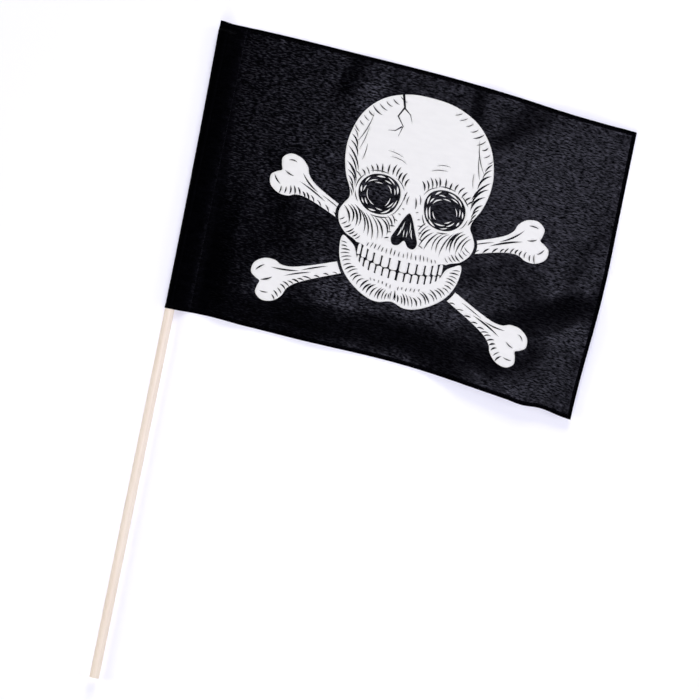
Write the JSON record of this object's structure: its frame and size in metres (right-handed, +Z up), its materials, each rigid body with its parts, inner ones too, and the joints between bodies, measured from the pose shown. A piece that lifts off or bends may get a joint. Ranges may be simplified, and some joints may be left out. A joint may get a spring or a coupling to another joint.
{
  "type": "pirate hand flag",
  "caption": "Black cloth hand flag with a printed white skull over crossed bones, hemmed on three sides and sewn in a tunnel round a plain wooden stick, lying face up.",
  "frame": {"origin": "centre of the flag's outline as it lies, on the ground under it", "axes": "+Y along the stick from its bare butt to the sewn end of the tunnel, +X from the stick to the free end of the cloth, +Z up off the printed face"},
  "size_m": [0.443, 0.688, 0.0142],
  "materials": {
    "pale_wood": "bare, finely sanded",
    "black_polyester": "thin plain weave with a faint sheen",
    "white_ink": "matt ink soaked into the cloth"
  },
  "bodies": {
    "root": {"stick": "pale_wood", "flag_cloth": "black_polyester", "skull_print": "white_ink"}
  },
  "joints": []
}
